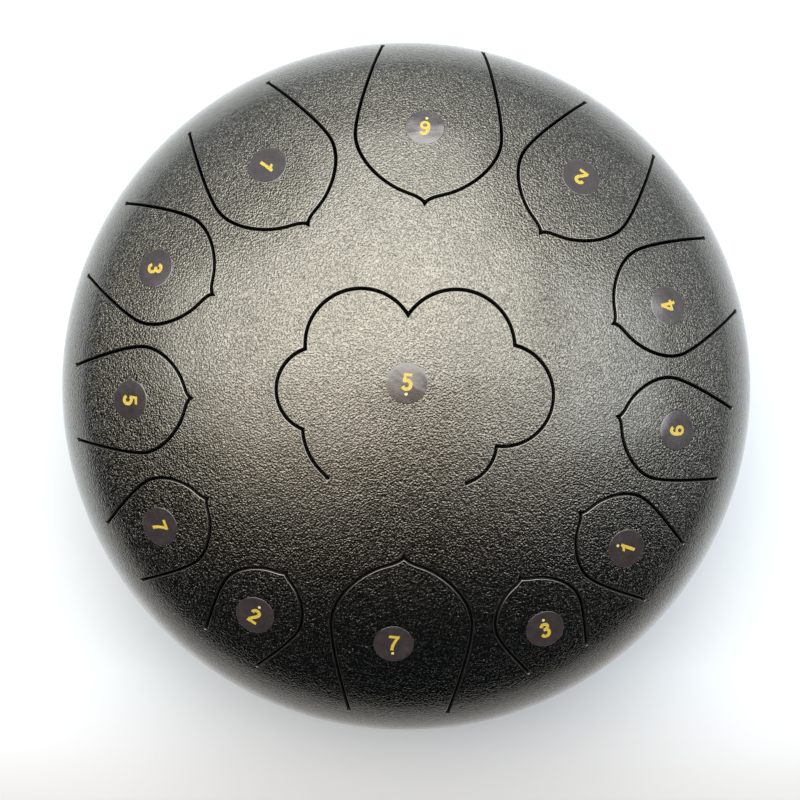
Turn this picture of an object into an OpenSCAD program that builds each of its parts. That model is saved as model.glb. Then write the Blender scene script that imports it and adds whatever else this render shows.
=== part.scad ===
// Thirteen-note steel tongue drum, 305 mm across, standing on three rubber feet.
// Millimetres. +Z is up, the flat of the feet is Z = 0, the drum axis is X = Y = 0.
// +Y runs from the drum centre towards the low 6 tongue, +X towards the 4 and 6 tongues.
//
// Every tongue is a petal cut out of the top dome by a narrow slot. It is still part
// of the dome's sheet along its root chord, and bends there. Each one is a node of its
// own so that it can swing, so a hair gap (root_gap) stands in for the uncut root.

/* [Body] */
// Outer diameter over the rim
drum_d = 305; // [290:1:320]
// Radius of the knuckle between crown and rim, outer face
knuckle_r = 44.5; // [40:0.5:50]
// Sheet thickness
sheet_t = 1.8; // [1.2:0.1:2.4]
// Straight height of the rim on each half
flange_h = 4; // [3:0.5:8]
// Height of the bottom crown above the floor
foot_clear = 4; // [2:0.5:10]

/* [Slots] */
// Width of the cut around every tongue
slot_w = 1.3; // [1.3:0.1:2.0]
// Diameter of the pierced hole at both ends of every slot
pierce_d = 1.8; // [1.5:0.1:3]
// Gap that stands in for the bending line at a tongue's root
root_gap = 0.3; // [0.3:0.05:0.5]
// Root width of a petal as a share of its widest width
root_share = 0.725; // [0.6:0.005:0.85]

/* [Tongues] */
// Each row: direction of the root from the drum centre (degrees), distance of the root
// chord, length from root to tip, half of the widest width, lean of the petal (degrees),
// then distance and direction of its note sticker
// Low 6
low_6 = [85.5, 145.5, 74.3, 30.2, 1.0, 104.5, 86];
// Low 7
low_7 = [-91.5, 139, 67.8, 28.8, -0.3, 108, -93];
// Note 1
note_1 = [123, 139.8, 65.5, 27.6, 0.3, 105.5, 123];
// Note 2
note_2 = [50, 142, 62, 25.8, 2.8, 110.5, 49.5];
// Note 3
note_3 = [154.5, 141.9, 55.8, 24.1, -2.9, 114, 156];
// Note 4
note_4 = [19, 141.5, 55.3, 23.5, 5.9, 112, 16];
// Note 5
note_5 = [-176.5, 140, 52, 21.9, -2.3, 114.5, -176];
// Note 6
note_6 = [-11, 136, 49.5, 21.1, -1.8, 113, -10.5];
// Note 7
note_7 = [-149, 138.9, 44.4, 19.5, 0.8, 118.5, -149.5];
// High 1
high_1 = [-36.5, 133.7, 45.5, 19.8, 2.3, 113.5, -37.5];
// High 2
high_2 = [-123.5, 132.9, 40.7, 18.3, -2.9, 115, -123];
// High 3
high_3 = [-61.5, 131.4, 39.2, 18.6, -3.0, 117, -61];

/* [Centre tongue] */
// Left end of the centre tongue's root
root_left = [-32, -39.3];
// Right end of the centre tongue's root
root_right = [23.4, -41.5];
// Lobe at the lower left: centre x, centre y, radius
lobe_sw = [-16.5, -19, 25.3];
// Lobe at the left
lobe_w = [-35.4, -4.4, 17];
// Lobe at the upper left
lobe_nw = [-18.8, 13.8, 22];
// Lobe at the upper right
lobe_ne = [19.4, 12.2, 23.2];
// Lobe at the right
lobe_e = [37.8, -6.6, 20.4];
// Lobe at the lower right
lobe_se = [18.4, -25.3, 16.9];

/* [Stickers] */
// Sticker diameter
sticker_d = 16.4; // [14:0.1:18]
// Sticker thickness
sticker_t = 0.2; // [0.15:0.05:0.4]

/* [Bottom] */
// Diameter of the sound port
port_d = 70; // [50:1:90]
// Distance of the feet from the drum axis
foot_pitch = 85; // [78:1:92]
// Foot diameter at the floor
foot_d = 26; // [22:1:30]
// Foot diameter where it meets the shell
foot_top_d = 23; // [20:1:26]

/* [Hidden] */
$fn = 180;
rim_r = drum_d / 2;
// The crown sphere and the knuckle meet on a line that leans 8 out for every 15 up, so
// their centres are the corners of an 8-15-17 triangle and the faces run smoothly together
kc = rim_r - knuckle_r;             // radius of the knuckle circle's centre line
drop = kc * 15 / 8;                 // crown centre below the knuckle centre
crown_r = knuckle_r + kc * 17 / 8;  // radius of the crown sphere, outer face
rise = crown_r - drop;              // crown top above the knuckle centre
seam_z = foot_clear + rise + flange_h;        // joint of the two halves
top_z = seam_z + flange_h;                    // knuckle centre height, top half
ball_z = top_z - drop;                        // crown sphere centre, top half
low_z = seam_z - flange_h;                    // knuckle centre height, bottom half
low_ball_z = low_z + drop;                    // crown sphere centre, bottom half
half_w = slot_w / 2;

TONGUES = [low_6, low_7, note_1, note_2, note_3, note_4, note_5, note_6, note_7,
           high_1, high_2, high_3];
LOBES = [lobe_sw, lobe_w, lobe_nw, lobe_ne, lobe_e, lobe_se];

// foot hardware, M5 x 25 button head screw with plain washer and nut
screw_d = 5;
shoulder_z = 6;
bush_top = 24;
washer_t = 1.2;
nut_h = 4.7;

// ---- curves -------------------------------------------------------------------------

function bez(p, t) = pow(1 - t, 3) * p[0] + 3 * t * pow(1 - t, 2) * p[1]
                   + 3 * t * t * (1 - t) * p[2] + pow(t, 3) * p[3];
function tangent(p, t) = 3 * pow(1 - t, 2) * (p[1] - p[0]) + 6 * t * (1 - t) * (p[2] - p[1])
                       + 3 * t * t * (p[3] - p[2]);
// point at t, moved sideways by k (out of the petal when k is positive)
function beside(p, t, k) = let (d = tangent(p, t), l = norm(d))
    bez(p, t) + k / l * [-d[1], d[0]];

// One edge of a petal, root to tip, along +x with the width along y:
// nearly straight side, round shoulder, then a hollow flare into the pointed tip.
function side_run(l, w) = let (a = root_share * w, s = l - w)
    [[0, a], [0.35 * s, a + 0.45 * (w - a)], [0.75 * s, w], [s, w]];
function shoulder_run(l, w) =
    [[l - w, w], [l - 0.62 * w, w], [l - 0.27 * w, 0.62 * w], [l - 0.155 * w, 0.3 * w]];
function flare_run(l, w) =
    [[l - 0.155 * w, 0.3 * w], [l - 0.108 * w, 0.17 * w], [l - 0.085 * w, 0.05 * w], [l, 0]];

function edge(l, w, k) = let (pts = concat(
        [for (i = [1 : 4]) beside(side_run(l, w), i / 5, k)],
        [for (i = [0 : 9]) beside(shoulder_run(l, w), i / 10, k)],
        [for (i = [0 : 5]) beside(flare_run(l, w), i / 6, k)]))
    [for (q = pts) if (q[1] > 0.3) q];

// Whole petal outline moved sideways by k, its root edge at x = x0
function petal(l, w, k, x0) = let (e = edge(l, w, k), n = len(e), a = root_share * w + 1.03 * k)
    concat([[x0, a]], e, [[l + 1.95 * k, 0]],
           [for (i = [n - 1 : -1 : 0]) [e[i][0], -e[i][1]]], [[x0, -a]]);

// ---- the two pressings --------------------------------------------------------------

// Section of the domed half, filled, its outer face moved in by t; z = 0 at the knuckle
module dome_section(t) {
    far = 320;
    lean = 20 * 8;
    tall = 20 * 15;
    intersection() {
        translate([0, -drop]) circle(r = crown_r - t, $fn = 360);
        polygon([[0, -flange_h], [kc, -flange_h], [kc, 0], [kc + lean, tall], [0, tall]]);
    }
    intersection() {
        translate([kc, 0]) circle(r = knuckle_r - t);
        polygon([[kc, 0], [far, 0], [far, tall], [kc + lean, tall]]);
    }
    translate([kc, -flange_h]) square([knuckle_r - t, flange_h]);
}

// Domed half with its open side down at z = -flange_h
module pressing() {
    rotate_extrude() difference() {
        dome_section(0);
        dome_section(sheet_t);
    }
}

module upper_half() { translate([0, 0, top_z]) pressing(); }
module lower_half() { translate([0, 0, low_z]) mirror([0, 0, 1]) pressing(); }

// ---- tongues ------------------------------------------------------------------------

module at_root(n) {
    rotate([0, 0, n[0]]) translate([n[1], 0, 0]) rotate([0, 0, 180 + n[4]]) children();
}

module slot_opening(n) {
    at_root(n) {
        polygon(petal(n[2], n[3], half_w, -root_gap / 2));
        for (s = [-1, 1]) translate([0, s * root_share * n[3]]) circle(d = pierce_d);
    }
}

module tongue_outline(n) {
    at_root(n) polygon(petal(n[2], n[3], -half_w, root_gap / 2));
}

// Outline of the centre tongue, clockwise from its left root: round lobes, grown by k, that
// meet in sharp corners. Both ends run a little past the root line.
function bearing(c, p) = atan2(p[1] - c[1], p[0] - c[0]);
function corner(p, q, k) = let (
    r0 = p[2] + k, r1 = q[2] + k, v = [q[0] - p[0], q[1] - p[1]], d = norm(v),
    m = (d * d + r0 * r0 - r1 * r1) / (2 * d), h = sqrt(r0 * r0 - m * m) / d,
    base = [p[0], p[1]] + m / d * v, side = h * [-v[1], v[0]])
    norm(base + side + [0, 5]) > norm(base - side + [0, 5]) ? base + side : base - side;
function clockwise(c, r, a0, a1) = let (sweep = (((a0 - a1) % 360) + 360) % 360,
    n = ceil(sweep / 5))
    [for (i = [0 : n]) [c[0], c[1]] + r * [cos(a0 - sweep * i / n), sin(a0 - sweep * i / n)]];
function lobe_edge(k) = let (last = len(LOBES) - 1) [for (i = [0 : last]) let (
    c = LOBES[i],
    a0 = i == 0 ? bearing(c, root_left) + 25 : bearing(c, corner(LOBES[i - 1], c, k)),
    a1 = i == last ? bearing(c, root_right) - 25 : bearing(c, corner(c, LOBES[i + 1], k)),
    pts = clockwise(c, c[2] + k, a0, a1))
    for (j = [min(i, 1) : len(pts) - 1]) pts[j]];

// Centre tongue, cut straight at the root
module lobed(k, g) {
    u = (root_right - root_left) / norm(root_right - root_left);
    v = [-u[1], u[0]];
    intersection() {
        polygon(lobe_edge(k));
        polygon([root_left - 100 * u + g * v, root_right + 100 * u + g * v,
                 root_right + 100 * u + 150 * v, root_left - 100 * u + 150 * v]);
    }
}

module tongue_from_sheet() {
    intersection() {
        upper_half();
        translate([0, 0, top_z]) linear_extrude(height = 90) children();
    }
}

module tongue(n) { tongue_from_sheet() tongue_outline(n); }

// Thin disc lying on the crown at distance r and direction a
module sticker(r, a) {
    translate([0, 0, ball_z]) rotate([0, asin(r / crown_r), a]) rotate_extrude() intersection() {
        difference() {
            circle(r = crown_r + sticker_t, $fn = 1440);
            circle(r = crown_r, $fn = 1440);
        }
        translate([0, crown_r - 5]) square([sticker_d / 2, 10]);
    }
}

module steel() { color([0.30, 0.30, 0.28]) children(); }
module vinyl() { color([0.33, 0.28, 0.30]) children(); }
module rubber() { color([0.07, 0.07, 0.07]) children(); }
module zinc() { color([0.70, 0.71, 0.72]) children(); }

module top_shell() {
    steel() difference() {
        upper_half();
        translate([0, 0, top_z]) linear_extrude(height = 90) {
            for (n = TONGUES) slot_opening(n);
            lobed(half_w, -root_gap / 2);
            for (c = [root_left, root_right]) translate(c) circle(d = pierce_d);
        }
        // weld bevel on the seam edge
        translate([0, 0, seam_z]) rotate_extrude()
            polygon([[rim_r - 1, 0], [rim_r + 1, 2], [rim_r + 1, -1], [rim_r - 1, -1]]);
    }
}

module bottom_shell() {
    steel() difference() {
        lower_half();
        translate([0, 0, -1]) cylinder(d = port_d, h = 30);
        for (i = [0 : 2]) at_foot(i) cylinder(d = screw_d + 1, h = 40);
        translate([0, 0, seam_z]) rotate_extrude()
            polygon([[rim_r - 1, 0], [rim_r + 1, -2], [rim_r + 1, 1], [rim_r - 1, 1]]);
    }
}

// Weld bead that fills the bevel all round and stands a little proud
module rim_weld() {
    steel() translate([0, 0, seam_z]) rotate_extrude() intersection() {
        polygon([[rim_r - 1, 0], [rim_r + 1, 2], [rim_r + 1, -2]]);
        translate([rim_r - 1.6, 0]) circle(r = 2);
    }
}

module tongue_low_5() { steel() tongue_from_sheet() lobed(-half_w, root_gap / 2); }
module tongue_low_6() { steel() tongue(low_6); }
module tongue_low_7() { steel() tongue(low_7); }
module tongue_1() { steel() tongue(note_1); }
module tongue_2() { steel() tongue(note_2); }
module tongue_3() { steel() tongue(note_3); }
module tongue_4() { steel() tongue(note_4); }
module tongue_5() { steel() tongue(note_5); }
module tongue_6() { steel() tongue(note_6); }
module tongue_7() { steel() tongue(note_7); }
module tongue_high_1() { steel() tongue(high_1); }
module tongue_high_2() { steel() tongue(high_2); }
module tongue_high_3() { steel() tongue(high_3); }

module sticker_low_5() { vinyl() sticker(2, -100); }
module sticker_low_6() { vinyl() sticker(low_6[5], low_6[6]); }
module sticker_low_7() { vinyl() sticker(low_7[5], low_7[6]); }
module sticker_1() { vinyl() sticker(note_1[5], note_1[6]); }
module sticker_2() { vinyl() sticker(note_2[5], note_2[6]); }
module sticker_3() { vinyl() sticker(note_3[5], note_3[6]); }
module sticker_4() { vinyl() sticker(note_4[5], note_4[6]); }
module sticker_5() { vinyl() sticker(note_5[5], note_5[6]); }
module sticker_6() { vinyl() sticker(note_6[5], note_6[6]); }
module sticker_7() { vinyl() sticker(note_7[5], note_7[6]); }
module sticker_high_1() { vinyl() sticker(high_1[5], high_1[6]); }
module sticker_high_2() { vinyl() sticker(high_2[5], high_2[6]); }
module sticker_high_3() { vinyl() sticker(high_3[5], high_3[6]); }

// ---- feet ---------------------------------------------------------------------------

module at_foot(i) { rotate([0, 0, 90 + 120 * i]) translate([foot_pitch, 0, 0]) children(); }

// Rubber foot: flat below, cut to the dome above, stepped bore for the screw
module foot(i) {
    rubber() difference() {
        at_foot(i) rotate_extrude() polygon([
            [screw_d / 2 + 0.3, shoulder_z], [5.6, shoulder_z], [5.6, 0], [foot_d / 2 - 1.2, 0],
            [foot_d / 2, 1.2], [foot_d / 2, 4], [foot_top_d / 2, 8], [foot_top_d / 2, 26],
            [screw_d / 2 + 0.3, 26]]);
        translate([0, 0, low_ball_z]) sphere(r = crown_r, $fn = 360);
    }
}

module foot_a() { foot(0); }
module foot_b() { foot(1); }
module foot_c() { foot(2); }

// Rubber collar inside the shell, cut to the dome below, flat above
module foot_bushings() {
    rubber() intersection() {
        for (i = [0 : 2]) at_foot(i) difference() {
            cylinder(d = 16, h = bush_top);
            translate([0, 0, -1]) cylinder(d = screw_d + 0.6, h = bush_top + 2);
        }
        translate([0, 0, low_ball_z]) sphere(r = crown_r - sheet_t, $fn = 360);
    }
}

module foot_screws() {
    zinc() for (i = [0 : 2]) at_foot(i) difference() {
        rotate_extrude() polygon([
            [0, shoulder_z - 2.7], [3, shoulder_z - 2.7], [4.3, shoulder_z - 1.9],
            [4.75, shoulder_z - 0.7], [4.75, shoulder_z], [screw_d / 2, shoulder_z],
            [screw_d / 2, shoulder_z + 24.5], [screw_d / 2 - 0.5, shoulder_z + 25],
            [0, shoulder_z + 25]]);
        translate([0, 0, shoulder_z - 3]) cylinder(d = 3 / cos(30), h = 2, $fn = 6);
    }
}

module foot_washers() {
    zinc() for (i = [0 : 2]) at_foot(i) translate([0, 0, bush_top]) difference() {
        cylinder(d = 12, h = washer_t);
        translate([0, 0, -1]) cylinder(d = screw_d + 0.4, h = washer_t + 2);
    }
}

module foot_nuts() {
    zinc() for (i = [0 : 2]) at_foot(i) translate([0, 0, bush_top + washer_t]) difference() {
        cylinder(d = 8 / cos(30), h = nut_h, $fn = 6);
        translate([0, 0, -1]) cylinder(d = screw_d + 0.1, h = nut_h + 2);
    }
}

top_shell();
bottom_shell();
rim_weld();
tongue_low_5();
tongue_low_6();
tongue_low_7();
tongue_1();
tongue_2();
tongue_3();
tongue_4();
tongue_5();
tongue_6();
tongue_7();
tongue_high_1();
tongue_high_2();
tongue_high_3();
sticker_low_5();
sticker_low_6();
sticker_low_7();
sticker_1();
sticker_2();
sticker_3();
sticker_4();
sticker_5();
sticker_6();
sticker_7();
sticker_high_1();
sticker_high_2();
sticker_high_3();
foot_a();
foot_b();
foot_c();
foot_bushings();
foot_screws();
foot_washers();
foot_nuts();
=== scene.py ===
import math

import bpy
import numpy as np
from mathutils import Matrix, Vector
from mathutils.geometry import delaunay_2d_cdt
from mathutils.kdtree import KDTree


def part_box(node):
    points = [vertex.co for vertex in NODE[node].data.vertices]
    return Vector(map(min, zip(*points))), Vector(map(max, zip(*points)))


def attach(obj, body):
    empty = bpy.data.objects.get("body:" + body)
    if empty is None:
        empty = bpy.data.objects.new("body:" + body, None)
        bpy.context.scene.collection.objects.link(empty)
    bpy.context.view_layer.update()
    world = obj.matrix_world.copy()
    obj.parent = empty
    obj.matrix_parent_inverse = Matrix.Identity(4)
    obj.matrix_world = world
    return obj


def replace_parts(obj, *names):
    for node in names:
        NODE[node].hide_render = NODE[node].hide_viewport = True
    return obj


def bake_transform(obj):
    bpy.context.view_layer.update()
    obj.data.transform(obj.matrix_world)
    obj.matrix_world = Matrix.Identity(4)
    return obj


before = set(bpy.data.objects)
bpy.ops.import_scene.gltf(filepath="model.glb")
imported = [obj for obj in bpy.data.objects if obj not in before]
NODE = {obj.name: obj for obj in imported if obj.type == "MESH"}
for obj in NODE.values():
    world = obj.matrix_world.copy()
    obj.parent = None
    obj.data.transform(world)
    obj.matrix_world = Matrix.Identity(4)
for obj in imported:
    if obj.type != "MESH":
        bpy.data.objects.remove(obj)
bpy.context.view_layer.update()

# ---------------------------------------------------------------------------------
# Shape of the pressings, in millimetres in this script and metres in the meshes.
# The same few dimensions as the CAD: a crown sphere running smoothly into a knuckle.
# ---------------------------------------------------------------------------------
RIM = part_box("bottom_shell")[1].x * 1000.0
KNUCKLE = 44.5
KC = RIM - KNUCKLE
DROP = KC * 15 / 8
CROWN = KNUCKLE + KC * 17 / 8
SHEET = 1.8
FLANGE = 4.0
TOP_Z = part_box("top_shell")[0].z * 1000.0 + FLANGE
LOW_Z = TOP_Z - 2 * FLANGE
SEAM_Z = TOP_Z - FLANGE
BALL_Z = TOP_Z - DROP
LOW_BALL_Z = LOW_Z + DROP
A_JOIN = math.asin(8 / 17)
S_JOIN = CROWN * A_JOIN
S_RIM = S_JOIN + KNUCKLE * (math.pi / 2 - A_JOIN)
S_END = S_RIM + FLANGE

HALF = 0.65          # half the slot width
PIERCE = 0.90        # radius of the pierced hole at a slot's end
LIP = 0.28           # rounding of the painted slot edge
SHARE = 0.725

PETALS = {
    "low_6": (85.5, 145.5, 74.3, 30.2, 1.0, 104.5, 86.0),
    "low_7": (-91.5, 139.0, 67.8, 28.8, -0.3, 108.0, -93.0),
    "1": (123.0, 139.8, 65.5, 27.6, 0.3, 105.5, 123.0),
    "2": (50.0, 142.0, 62.0, 25.8, 2.8, 110.5, 49.5),
    "3": (154.5, 141.9, 55.8, 24.1, -2.9, 114.0, 156.0),
    "4": (19.0, 141.5, 55.3, 23.5, 5.9, 112.0, 16.0),
    "5": (-176.5, 140.0, 52.0, 21.9, -2.3, 114.5, -176.0),
    "6": (-11.0, 136.0, 49.5, 21.1, -1.8, 113.0, -10.5),
    "7": (-149.0, 138.9, 44.4, 19.5, 0.8, 118.5, -149.5),
    "high_1": (-36.5, 133.7, 45.5, 19.8, 2.3, 113.5, -37.5),
    "high_2": (-123.5, 132.9, 40.7, 18.3, -2.9, 115.0, -123.0),
    "high_3": (-61.5, 131.4, 39.2, 18.6, -3.0, 117.0, -61.0),
}
ROOT_L = np.array([-32.0, -39.3])
ROOT_R = np.array([23.4, -41.5])
LOBES = [(-16.5, -19.0, 25.3), (-35.4, -4.4, 17.0), (-18.8, 13.8, 22.0),
         (19.4, 12.2, 23.2), (37.8, -6.6, 20.4), (18.4, -25.3, 16.9)]


def unit(v):
    v = np.asarray(v, float)
    return v / np.maximum(np.linalg.norm(v, axis=-1, keepdims=True), 1e-12)


def profile(s):
    """Arc length from the crown's top -> radius, height above the knuckle centre, normal."""
    s = np.asarray(s, float)
    a1 = s / CROWN
    a2 = A_JOIN + (s - S_JOIN) / KNUCKLE
    a = np.where(s <= S_JOIN, a1, np.minimum(a2, math.pi / 2))
    r = np.where(s <= S_JOIN, CROWN * np.sin(a), KC + KNUCKLE * np.sin(a))
    z = np.where(s <= S_JOIN, CROWN * np.cos(a) - DROP, KNUCKLE * np.cos(a))
    z = z - np.maximum(s - S_RIM, 0.0)
    return r, z, np.sin(a), np.cos(a)


def flatten(xy):
    """Plan position -> unrolled position, with arc length as the distance from the axis."""
    xy = np.asarray(xy, float)
    r = np.hypot(xy[..., 0], xy[..., 1])
    s = np.where(r <= CROWN * 8 / 17, CROWN * np.arcsin(np.minimum(r / CROWN, 1.0)),
                 S_JOIN + KNUCKLE * (np.arcsin(np.clip((r - KC) / KNUCKLE, -1, 1)) - A_JOIN))
    return xy * (s / np.maximum(r, 1e-9))[..., None]


def lift(uv, depth=0.0):
    """Unrolled position -> point, normal and the two surface directions, top half."""
    uv = np.asarray(uv, float)
    s = np.hypot(uv[:, 0], uv[:, 1])
    c = np.where(s > 1e-9, uv[:, 0] / np.maximum(s, 1e-9), 1.0)
    q = np.where(s > 1e-9, uv[:, 1] / np.maximum(s, 1e-9), 0.0)
    r, z, nr, nz = profile(s)
    n = np.stack([nr * c, nr * q, nz], -1)
    p = np.stack([r * c, r * q, z + TOP_Z], -1) - n * np.broadcast_to(depth, s.shape)[:, None]
    es = np.stack([nz * c, nz * q, -nr], -1)
    ep = np.stack([-q, c, np.zeros_like(q)], -1)
    return p, n, es, ep


def tangent3(uv, d):
    """Unrolled direction d at uv as a direction on the surface."""
    s = np.maximum(np.hypot(uv[:, 0], uv[:, 1]), 1e-9)
    er = uv / s[:, None]
    et = np.stack([-er[:, 1], er[:, 0]], -1)
    _, _, es, ep = lift(uv)
    return unit(es * (d * er).sum(-1, keepdims=True) + ep * (d * et).sum(-1, keepdims=True))


# ---------------------------------------------------------------------------------
# Slot outlines
# ---------------------------------------------------------------------------------
def bez(p, t):
    t = np.asarray(t, float)[:, None]
    return ((1 - t) ** 3 * p[0] + 3 * t * (1 - t) ** 2 * p[1]
            + 3 * t * t * (1 - t) * p[2] + t ** 3 * p[3])


def bez_d(p, t):
    t = np.asarray(t, float)[:, None]
    return (3 * (1 - t) ** 2 * (p[1] - p[0]) + 6 * t * (1 - t) * (p[2] - p[1])
            + 3 * t * t * (p[3] - p[2]))


def petal_runs(l, w):
    a, s = SHARE * w, l - w
    return [np.array([[0, a], [0.35 * s, a + 0.45 * (w - a)], [0.75 * s, w], [s, w]]),
            np.array([[s, w], [l - 0.62 * w, w], [l - 0.27 * w, 0.62 * w],
                      [l - 0.155 * w, 0.3 * w]]),
            np.array([[l - 0.155 * w, 0.3 * w], [l - 0.108 * w, 0.17 * w],
                      [l - 0.085 * w, 0.05 * w], [l, 0]])]


def petal_side(l, w, k):
    """One edge of the petal from its root towards its tip, moved sideways by k."""
    runs = petal_runs(l, w)
    out = []
    for p, n, first in ((runs[0], max(8, int((l - w) / 1.5)), 1),
                        (runs[1], max(14, int(w * 0.9)), 0), (runs[2], 10, 0)):
        t = np.arange(first, n) / n
        d = bez_d(p, t)
        out.append(bez(p, t) + k * unit(np.stack([-d[:, 1], d[:, 0]], -1)))
    e = np.vstack(out)
    return e[(e[:, 1] > 0.45) & (e[:, 0] > 1.3)]


def end_arc(c, u, outside):
    """Pierced hole round slot end c. u points along the slot, outside to its outer side. Gives c, u
    and outside back with the angle d either side of u where the hole meets the slot's sides."""
    d = math.acos(math.sqrt(PIERCE ** 2 - HALF ** 2) / PIERCE)
    return c, u, outside, d


def petal_loop(row):
    ang, rr, l, w, lean = row[:5]
    a = SHARE * w
    u = unit(np.array([0.35 * (l - w), 0.45 * (w - a)]))
    outer = petal_side(l, w, HALF)
    inner = petal_side(l, w, -HALF)
    half = []
    # from the inner edge at the root, round the pierced hole to the outer edge
    a0 = math.atan2(u[1], u[0])
    dd = math.acos(math.sqrt(PIERCE ** 2 - HALF ** 2) / PIERCE)
    arc_in = np.linspace(a0 - dd, -math.pi / 2, 5)
    arc_out = np.linspace(-math.pi / 2, -2 * math.pi + a0 + dd, 15)[1:]
    hole = lambda t: np.stack([PIERCE * np.cos(t), a + PIERCE * np.sin(t)], -1)
    right_in, right_out = hole(arc_in), hole(arc_out)
    flip = np.array([1, -1])
    loop = np.vstack([
        right_in, right_out, outer, [[l + 1.95 * HALF, 0]], outer[::-1] * flip,
        right_out[::-1] * flip, right_in[::-1] * flip,
        inner * flip, [[l - 1.95 * HALF, 0]], inner[::-1]])
    jr = len(right_in) - 1
    jl = len(right_in) + len(right_out) + 2 * len(outer) + 1 + len(right_out)
    root = np.stack([np.zeros(13), np.linspace(1, -1, 13) * (a - PIERCE)], -1)[1:-1]

    def place(q):
        t = math.radians(180 + lean)
        q = q @ np.array([[math.cos(t), math.sin(t)], [-math.sin(t), math.cos(t)]])
        q = q + [rr, 0]
        t = math.radians(ang)
        return q @ np.array([[math.cos(t), math.sin(t)], [-math.sin(t), math.cos(t)]])

    tip = place(np.array([[l, 0.0]]))[0]
    mid = place(np.array([[0.0, 0.0]]))[0]
    return place(loop), jr, jl, place(root), mid, tip


def lobe_path(k):
    """Outline of the centre tongue moved out by k, left root end round to the right."""
    def cross(c, d):
        (x0, y0, r0), (x1, y1, r1) = c, d
        r0, r1 = r0 + k, r1 + k
        v = np.array([x1 - x0, y1 - y0])
        dist = np.linalg.norm(v)
        e = v / dist
        m = (dist ** 2 + r0 ** 2 - r1 ** 2) / (2 * dist)
        h = math.sqrt(r0 ** 2 - m ** 2)
        cand = [np.array([x0, y0]) + e * m + s * h * np.array([-e[1], e[0]]) for s in (1, -1)]
        return max(cand, key=lambda p: np.hypot(p[0], p[1] + 5))

    back = math.sqrt(PIERCE ** 2 - HALF ** 2)
    knots = [cross(LOBES[i], LOBES[i + 1]) for i in range(5)]
    out = []
    for i, (x, y, r) in enumerate(LOBES):
        c = np.array([x, y])
        ang = lambda p: math.atan2(p[1] - c[1], p[0] - c[0])
        a0 = ang(ROOT_L) - back / r if i == 0 else ang(knots[i - 1])
        a1 = ang(ROOT_R) + back / r if i == 5 else ang(knots[i])
        while a1 > a0:
            a1 -= 2 * math.pi
        n = max(8, int((a0 - a1) * r / 1.5))
        t = np.linspace(a0, a1, n + 1)
        t = t[1:] if i else t
        if i == 0:
            t = t[1:]
        if i == 5:
            t = t[:-1]
        out.append(np.stack([x + (r + k) * np.cos(t), y + (r + k) * np.sin(t)], -1))
    return np.vstack(out)


def lobe_loop():
    outer, inner = lobe_path(HALF), lobe_path(-HALF)
    dd = math.acos(math.sqrt(PIERCE ** 2 - HALF ** 2) / PIERCE)
    across = unit(ROOT_R - ROOT_L)

    def end(c, lobe, turn):
        # travel direction along the slot away from its end, and its outer side
        o = unit(c - np.array(lobe[:2]))
        u = np.array([o[1], -o[0]]) * turn
        a_u = math.atan2(u[1], u[0])
        side = 1 if np.cross(u, o) > 0 else -1
        # the point of the hole that lies on the root line, on the tongue's side
        inward = across if c is ROOT_L else -across
        a_in = math.atan2(inward[1], inward[0])
        start = a_u - side * dd
        stop = a_u + side * dd - side * 2 * math.pi
        while (a_in - start) * side > 0:
            a_in -= side * 2 * math.pi
        while (a_in - start) * side < -2 * math.pi:
            a_in += side * 2 * math.pi
        near = np.linspace(start, a_in, 4)
        far = np.linspace(a_in, stop, 15)[1:]
        ring = lambda t: np.stack([c[0] + PIERCE * np.cos(t), c[1] + PIERCE * np.sin(t)], -1)
        return ring(near), ring(far)

    l_in, l_out = end(ROOT_L, LOBES[0], 1)
    r_in, r_out = end(ROOT_R, LOBES[5], -1)
    loop = np.vstack([l_in, l_out, outer, r_out[::-1], r_in[::-1], inner[::-1]])
    jl = len(l_in) - 1
    jr = len(l_in) + len(l_out) + len(outer) + len(r_out)
    a, b = loop[jl], loop[jr]
    root = a + (b - a) * np.linspace(0, 1, 15)[1:-1, None]
    return loop, jl, jr, root, (a + b) / 2, np.array([0.0, 25.7])


def clean_loop(loop, keep):
    """Drops points closer than 0.12 mm to the last, other than the ones in keep."""
    out, new = [loop[0]], {0: 0}
    for i in range(1, len(loop)):
        if i in keep or np.linalg.norm(loop[i] - out[-1]) > 0.12:
            new[i] = len(out)
            out.append(loop[i])
    if np.linalg.norm(out[-1] - out[0]) < 0.12 and (len(out) - 1) not in new.values():
        out.pop()
    return np.array(out), new


class Slot:
    """One slot as a closed loop in the unrolled plane, sheet outside it."""

    def __init__(self, name, data):
        loop, j0, j1, root, mid, tip = data
        loop, new = clean_loop(loop, {j0, j1})
        j0, j1 = new[j0], new[j1]
        self.name, self.mid, self.tip = name, mid, tip
        self.L = flatten(loop)
        self.root = flatten(root)          # from j0's end to j1's end, without both ends
        n = len(self.L)
        # vertices and edges of the tongue: from j1 forward round to j0
        self.n, self.j0, self.j1 = n, j0, j1
        edge = np.roll(self.L, -1, 0) - self.L
        area = 0.5 * np.sum(self.L[:, 0] * np.roll(self.L[:, 1], -1)
                            - np.roll(self.L[:, 0], -1) * self.L[:, 1])
        e = unit(edge) * (1 if area > 0 else -1)
        en = np.stack([e[:, 1], -e[:, 0]], -1)       # away from the slot
        v = en + np.roll(en, 1, 0)
        v = unit(v)
        c = np.maximum((v * en).sum(-1), 0.45)
        self.N = v / c[:, None]
        self.ccw = area > 0

    def ring(self, inset):
        return self.L + self.N * inset

    def tongue_edges(self):
        """Index of each edge j -> j+1 that belongs to the tongue."""
        j = self.j1
        out = []
        while j != self.j0:
            out.append(j)
            j = (j + 1) % self.n
        return out


SLOTS = [Slot(k, petal_loop(v)) for k, v in PETALS.items()] + [Slot("low_5", lobe_loop())]


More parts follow.
